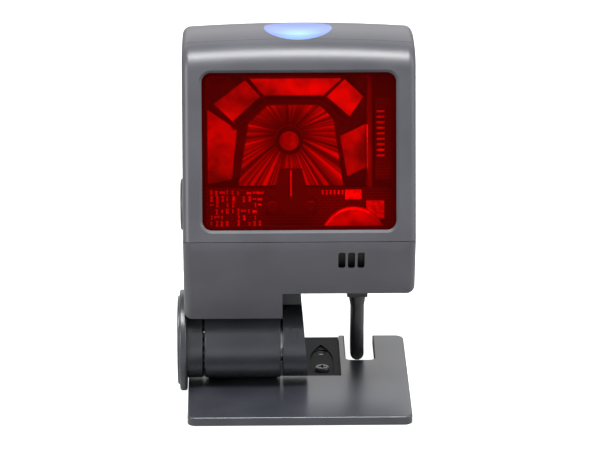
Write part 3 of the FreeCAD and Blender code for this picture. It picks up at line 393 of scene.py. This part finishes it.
# %% The helper that adds a piece
def link(name, mesh, body, slot, *cad_nodes):
    """Adds a finished mesh to the scene, on its body, in its finish, standing for the framed nodes."""
    piece = bpy.data.objects.new(name, mesh)
    bpy.context.scene.collection.objects.link(piece)
    if not mesh.materials:
        mesh.materials.append(FINISH[slot])
    if body:
        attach(piece, body)
    if cad_nodes:
        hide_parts(*cad_nodes)
    return piece


# %% [markdown]
# ## Moulded edges
# The framed nodes are loose triangles, so light breaks on every one of them. Each is copied and welded
# into one skin, and faces that meet at a gentle angle are shaded as one. Rebuilding the shapes by hand
# would risk moving a wall, and this way nothing moves. Where a piece has long bare edges its flat faces
# are joined again, and a small bevel catches the light along the edges, as a moulded edge does.

# %% Refine one piece
SHARP = math.radians(32)
FLAT = math.radians(0.3)
BEVEL_FROM = math.radians(40)
BEVEL_STEPS = 2
WELD = 0.0000005


def shade(bm):
    """Smooth faces with sharp edges left sharp."""
    for face in bm.faces:
        face.smooth = True
    for edge in bm.edges:
        edge.smooth = len(edge.link_faces) == 2 and edge.calc_face_angle(0.0) < SHARP


def refine(node, bevel=0.0):
    """A welded, smooth copy of a framed node. bevel is in millimetres."""
    bm = bmesh.new()
    bm.from_mesh(frame["nodes"][node].data)
    bmesh.ops.remove_doubles(bm, verts=bm.verts, dist=WELD)
    if bevel:
        bmesh.ops.dissolve_limit(bm, angle_limit=FLAT, verts=bm.verts, edges=bm.edges)
    shade(bm)
    mesh = bpy.data.meshes.new(node + "_skin")
    bm.to_mesh(mesh)
    bm.free()
    piece = link(node + "_skin", mesh, BODY_OF[node], SLOT_OF[node], node)
    if bevel:
        edge = piece.modifiers.new("edge", "BEVEL")
        edge.width = bevel * MM
        edge.segments = BEVEL_STEPS
        edge.limit_method = "ANGLE"
        edge.angle_limit = BEVEL_FROM
        edge.harden_normals = True
    return piece


# %% [markdown]
# The shells already have their large radii, so only smaller pieces with bare edges get a bevel. The four
# framed parts of the lead and the board's small parts are made further on in another way.

# %% Refine the pieces
DONE_ELSEWHERE = {"lead_drop", "lead_run", "lead_coil", "lead_tail", "board_parts"}
BEVELS = {
    "base_plate": 0.12, "hinge_bracket": 0.15, "right_hinge_arm": 0.25, "laser_bracket": 0.15,
    "lead_plug": 0.3, "side_connector": 0.08, "mirror_clips": 0.15,
}
for node in BODY_OF:
    if node not in DONE_ELSEWHERE:
        refine(node, BEVELS.get(node, 0.0))
print("refined", len(BODY_OF) - len(DONE_ELSEWHERE), "pieces,", len(BEVELS), "of them with a bevel")

# %% [markdown]
# ## Painted shade on the bracket's foot
# The hinge bracket's foot lies in a recess of the plate, where shade falls, so its faces there get a
# second material, darker and duller than the barrel: painted shade. It could be a separate piece. Foot and
# barrel are one moulding, though, so the low faces are chosen by their height.

# %% Paint shade on the bracket's foot
PLATE_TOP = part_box("base_plate")[1][2]
FOOT_MARGIN = 0.0002
foot_mesh = bpy.data.objects["hinge_bracket_skin"].data
# Painted shade: a near-black, dull finish with little shine for the foot's faces in the recess.
RECESS_SHADE, recess_shade_shader = finish_recipe("recess_painted_shade", (0.004, 0.004, 0.005), (0.008, 0.008, 0.010), 0.62,
                                  bump=0.2)
recess_shade_shader.inputs["Specular IOR Level"].default_value = 0.12
foot_mesh.materials.append(RECESS_SHADE)
# Faces below the plate's top lie in the recess's shade and take the painted-shade material.
for polygon in foot_mesh.polygons:
    if polygon.center.z < PLATE_TOP + FOOT_MARGIN:
        polygon.material_index = 1
# The count of recess faces that carry painted shade.
print(sum(polygon.material_index for polygon in foot_mesh.polygons), "bare faces in the recess")

# %% [markdown]
# ## Optics behind the window
# The collecting mirror gets its painted flute streaks. The tray that holds the mirrors is a greyer plastic
# than the rest of the inside, and the laser's face is a pale disc. The mirror and the tray share their
# slots with plainer pieces, so the finish is swapped on these three alone.

# %% Finish the optics
TRAY = finish_recipe("tray_plastic", (0.05, 0.05, 0.05), (0.13, 0.13, 0.13), 0.25, mottle=120.0,
                     bump=0.05)[0]
PALE_DISC = finish_recipe("laser_face", (0.55, 0.50, 0.50), (0.95, 0.90, 0.90), 0.25, mottle=500.0,
                          bump=0.1)[0]
OPTICS = (("collecting_mirror", STREAK_PAINTED_MIRROR), ("optical_chassis", TRAY), ("laser_lens", PALE_DISC))
for node, finish in OPTICS:
    inner_mesh = bpy.data.objects[node + "_skin"].data
    inner_mesh.materials.clear()
    inner_mesh.materials.append(finish)
print("finished", len(OPTICS), "optical pieces")

# %% [markdown]
# ## Painted shade behind the sound slots
# A near-black sheet behind the three sound slots is painted shade for the dark inside of the head, so
# nothing bright shows through them. It is one thin face that follows the slope of the chin, a little behind
# its inner side.

# %% Lay the painted-shade sheet behind the slots
# Painted shade: one thin near-black face where the inside of the head lies in shade.
shade_sheet_bm = bmesh.new()
SHADE_SHEET_CORNERS = [(11.5, -25.3, 25.6), (23.3, -25.3, 25.6), (23.3, -28.9, 34.9), (11.5, -28.9, 34.9)]
corners = [shade_sheet_bm.verts.new(head_point(*p)) for p in SHADE_SHEET_CORNERS]
shade_sheet_bm.faces.new(corners)
shade_sheet_mesh = bpy.data.meshes.new("slot_shade_sheet")
shade_sheet_bm.to_mesh(shade_sheet_mesh)
shade_sheet_bm.free()
link("slot_shade_sheet", shade_sheet_mesh, "head", "gasket_rubber")
# The width of the painted-shade sheet.
print("dust cloth is", round(SHADE_SHEET_CORNERS[1][0] - SHADE_SHEET_CORNERS[0][0], 1), "mm wide")

# %% [markdown]
# ## The lead's route
# One smooth spline is the lead's whole length: straight out of the boot, down to the counter, back behind
# the base, eleven and a half turns in three layers, and up to the plug that lies on the coil. The drop, the
# run and the tail are listed points. Hand-chosen points would never lie evenly round a coil, so a loop
# works out the turns, a diameter apart.

# %% Choose the lead's route
LEAD_RADIUS = 2.4
DROP = [
    (20.8, 15.95, 23.12), (20.78, 15.07, 19.83), (20.7, 15.0, 15.0), (20.7, 15.65, 11.0),
    (20.75, 16.7, 7.2), (20.9, 18.6, 4.1), (21.05, 21.6, 2.4), (21.2, 27.87, 2.4),
]
RUN = [(21.65, 38.4, 2.4), (22.2, 57.0, 2.4), (23.5, 84.0, 2.4), (26.6, 106.0, 2.5)]
TAIL = [
    (-17.4, 127.2, 12.7), (-12.5, 122.6, 14.6), (-6.0, 120.0, 16.8), (1.6, 120.2, 18.2),
    (9.0, 124.2, 18.9), (15.6, 131.0, 19.2), (19.8, 138.6, 19.2), (19.6, 145.4, 19.2),
    (15.8, 150.0, 19.2), (8.6, 152.6, 19.2),
]
COIL_CENTRE = (-3.0, 138.0)
COIL_MEAN = 25.3
COIL_FLOOR = 3.0
COIL_START = math.radians(12)
COLUMN_ORDER = [3, 2, 1, 0, 0, 1, 2, 3, 3, 2, 1, 0]
COLUMNS = 4
MID_COLUMN = 1.5
TOP_LAYER = 2
POINTS_PER_TURN = 32
LAST_TURN_POINTS = POINTS_PER_TURN * 9 // 16
EASE_FROM = 0.66
EASE_SPAN = 0.34
CLIMB_BOW = 0.37


def coil_points():
    """Turns side by side and on each other, easing from each to the next over the last third of a turn."""
    points = []
    pitch = 2 * LEAD_RADIUS
    last = len(COLUMN_ORDER) - 1
    for turn, column in enumerate(COLUMN_ORDER):
        level = turn // COLUMNS
        following = COLUMN_ORDER[min(turn + 1, last)]
        next_level = min((turn + 1) // COLUMNS, TOP_LAYER)
        for step in range(POINTS_PER_TURN if turn < last else LAST_TURN_POINTS):
            share = step / POINTS_PER_TURN
            ease = max(0.0, (share - EASE_FROM) / EASE_SPAN)
            bow = CLIMB_BOW * math.sin(math.pi * ease) * (next_level - level) * (-1 if column == 0 else 1)
            radius = COIL_MEAN + (column + (following - column) * ease + bow - MID_COLUMN) * pitch
            height = COIL_FLOOR + (level + (next_level - level) * ease) * pitch
            angle = 2 * math.pi * share - COIL_START
            x = COIL_CENTRE[0] + radius * math.cos(angle)
            points.append((x, COIL_CENTRE[1] + radius * math.sin(angle), height))
    return points


ROUTE = [Vector(p) * MM for p in DROP + RUN + coil_points() + TAIL]
print(len(ROUTE), "points in the lead's route")

# %% [markdown]
# ## Drawing the lead
# The lead hangs from the head and lies on the counter. The spline becomes a tube once with its thickness,
# and once without it to read the centre line.

# %% Draw the lead
SPLINE_STEPS = 4
ROUND_STEPS = 5
SPLINE_ORDER = 3


def lead_spline(thick):
    """The lead's spline as a mesh: a tube, or only its centre line."""
    curve = bpy.data.curves.new("lead_line", "CURVE")
    curve.dimensions = "3D"
    curve.resolution_u = SPLINE_STEPS
    curve.bevel_depth = LEAD_RADIUS * MM if thick else 0.0
    curve.bevel_resolution = ROUND_STEPS
    curve.use_fill_caps = thick
    spline = curve.splines.new("NURBS")
    spline.points.add(len(ROUTE) - 1)
    for point, place in zip(spline.points, ROUTE):
        point.co = (*place, 1.0)
    spline.order_u = SPLINE_ORDER
    spline.use_endpoint_u = True
    carrier = bpy.data.objects.new("lead_line", curve)
    bpy.context.scene.collection.objects.link(carrier)
    bpy.context.view_layer.update()
    drawn = carrier.evaluated_get(bpy.context.evaluated_depsgraph_get())
    mesh = bpy.data.meshes.new_from_object(drawn)
    bpy.data.objects.remove(carrier)
    return mesh


centre_line = [v.co.copy() for v in lead_spline(thick=False).vertices]
lead_mesh = lead_spline(thick=True)
for polygon in lead_mesh.polygons:
    polygon.use_smooth = True
lead = link("lead", lead_mesh, None, "lead_rubber", "lead_drop", "lead_run", "lead_coil", "lead_tail")
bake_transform(lead)

# %% [markdown]
# ## The lead's fittings
# The plug, its shell, the tie and the strain relief are pieces of their own.

# %% [markdown]
# ## Small parts on the board
# Through the window the lower left is crowded with tiny resistors and capacitors. Each is a short ceramic
# bar between two tinned ends. Fifty placed by hand would look too even. A loop lays them out in rows,
# with a little unevenness from a fixed seed, and one mesh holds them all.

# %% Shape one small part
BOARD_FRONT = -14.6
BAR_DEPTH = 0.7
CAP_DEPTH = 0.8
CAP_LENGTH = 0.34
CAP_OVERHANG = 1.06
BAR_EDGE = 0.18
PALE, DARK, TINNED = 0, 1, 2


def add_bar(bm, centre, size, material_index):
    """A box with softened edges, in head millimetres."""
    made = bmesh.ops.create_cube(bm, size=1.0)["verts"]
    bmesh.ops.scale(bm, vec=Vector(size), verts=made)
    bmesh.ops.translate(bm, vec=Vector(centre), verts=made)
    edges = list({e for v in made for e in v.link_edges})
    bevelled = bmesh.ops.bevel(bm, geom=edges, offset=min(size) * BAR_EDGE, segments=1, profile=0.5,
                               affect="EDGES", material=-1)
    for face in {f for v in made if v.is_valid for f in v.link_faces} | set(bevelled["faces"]):
        face.material_index = material_index


def add_chip(bm, x, s, long, wide, upright, shade_index):
    """A soldered bar with a tinned cap on each end. x and s are its place across and up the head."""
    body = (wide, BAR_DEPTH, long) if upright else (long, BAR_DEPTH, wide)
    add_bar(bm, (x, BOARD_FRONT - 0.35, s), body, shade_index)
    for side in (-1, 1):
        dx, ds = (0, side * long / 2) if upright else (side * long / 2, 0)
        across = wide * CAP_OVERHANG
        cap = (across, CAP_DEPTH, CAP_LENGTH) if upright else (CAP_LENGTH, CAP_DEPTH, across)
        add_bar(bm, (x + dx, BOARD_FRONT - 0.4, s + ds), cap, TINNED)


# %% [markdown]
# The crowd fills ten columns of six places, and about one place in six stays empty. A short row of six
# parts sits further right. Nine tinned pins stand in front of the side board, and a thin rib runs down
# the laser's bracket.

# %% Populate the board
FIRST_X, STEP_X, COLUMNS_OF_PARTS = -29.6, 1.85, 10
FIRST_S, STEP_S, ROWS_OF_PARTS = 41.4, 2.1, 6
UNEVEN = 0.2
EMPTY_SHARE = 0.16
UPRIGHT_SHARE = 0.65
PART_SIZES = ((1.45, 0.8), (1.0, 0.55), (1.25, 0.9), (0.8, 0.5))


def small_parts():
    """All the small parts, the pins and the rib in one mesh."""
    bm = bmesh.new()
    draw = random.Random(11)
    for i in range(COLUMNS_OF_PARTS):
        for j in range(ROWS_OF_PARTS):
            if draw.random() < EMPTY_SHARE:
                continue
            x = FIRST_X + i * STEP_X + draw.uniform(-UNEVEN, UNEVEN)
            s = FIRST_S + j * STEP_S + draw.uniform(-UNEVEN, UNEVEN)
            long, wide = draw.choice(PART_SIZES)
            add_chip(bm, x, s, long, wide, draw.random() < UPRIGHT_SHARE, draw.choice((PALE, DARK, DARK)))
    for i in range(6):
        add_chip(bm, 8.2 + i * 1.35, 51.9, 1.1, 0.7, True, i % 2)
    for i in range(9):
        add_bar(bm, (27.6, -22.3, 64.85 + i * 1.86), (2.6, 0.4, 0.62), TINNED)
    add_bar(bm, (-2.6, -19.65, 55.4), (0.5, 0.12, 8.8), TINNED)
    bmesh.ops.transform(bm, matrix=TO_ROW @ Matrix.Scale(MM, 4), verts=bm.verts)
    mesh = bpy.data.meshes.new("small_parts")
    bm.to_mesh(mesh)
    bm.free()
    for slot in ("component_ceramic", "inner_plastic", "steel"):
        mesh.materials.append(FINISH[slot])
    return mesh


parts_piece = link("small_parts", small_parts(), "head", "component_ceramic", "board_parts")
print(len(parts_piece.data.polygons), "faces in the small parts")

# %% [markdown]
# ## Counter and surroundings
# The counter is a wide pale sheet that fills the view. Lit like the scanner it would turn grey at the
# edges, so to the camera alone it shines white, and the scanner still gets a soft, weaker light from it.
# White surroundings fill the shadows.

# %% Set the stage
FLOOR_SIZE = 6.0
SURROUNDINGS = 0.70

floor_mesh = bpy.data.meshes.new("floor")
floor_bm = bmesh.new()
bmesh.ops.create_grid(floor_bm, x_segments=1, y_segments=1, size=FLOOR_SIZE)
floor_bm.to_mesh(floor_mesh)
floor_bm.free()
floor_finish, floor_shader = finish_recipe("floor", (0.34, 0.34, 0.34), (0.36, 0.36, 0.36), 0.7, bump=0.0)
floor_tree = floor_finish.node_tree
rays = floor_tree.nodes.new("ShaderNodeLightPath")
floor_shader.inputs["Emission Color"].default_value = (1, 1, 1, 1)
floor_tree.links.new(rays.outputs["Is Camera Ray"], floor_shader.inputs["Emission Strength"])
floor_mesh.materials.append(floor_finish)
floor = bpy.data.objects.new("floor", floor_mesh)
bpy.context.scene.collection.objects.link(floor)

world = bpy.data.worlds.new("studio")
world.use_nodes = True
world.node_tree.nodes["Background"].inputs["Color"].default_value = (1, 1, 1, 1)
world.node_tree.nodes["Background"].inputs["Strength"].default_value = SURROUNDINGS
bpy.context.scene.world = world
print("surroundings at", SURROUNDINGS)

# %% [markdown]
# ## Lights
# Dark plastic shows mostly what it reflects, so the lights are large and soft. The key light hangs above
# and in front, two weaker ones stand at the sides to draw the edges, and a faint one behind lifts the top
# of the head. A stronger one there would bleach it.

# %% Light the scanner
LIT_POINT = (0, 0, 0.06)


def soft_light(name, place, size, power):
    """A rectangular light turned towards the middle of the scanner. power is in watts."""
    data = bpy.data.lights.new(name, "AREA")
    data.shape = "RECTANGLE"
    data.size, data.size_y = size
    data.energy = power
    lamp = bpy.data.objects.new(name, data)
    bpy.context.scene.collection.objects.link(lamp)
    lamp.location = place
    lamp.rotation_euler = (Vector(LIT_POINT) - lamp.location).to_track_quat("-Z", "Y").to_euler()


soft_light("key", (0.0, -0.35, 1.2), (1.0, 0.5), 40.0)
soft_light("back", (0.0, 1.3, 0.55), (1.2, 0.5), 2.2)
soft_light("left", (-1.0, -0.7, 0.35), (0.4, 0.5), 8.0)
soft_light("right", (1.0, -0.2, 0.5), (0.4, 0.9), 6.0)
print(len(bpy.data.lights), "lights")
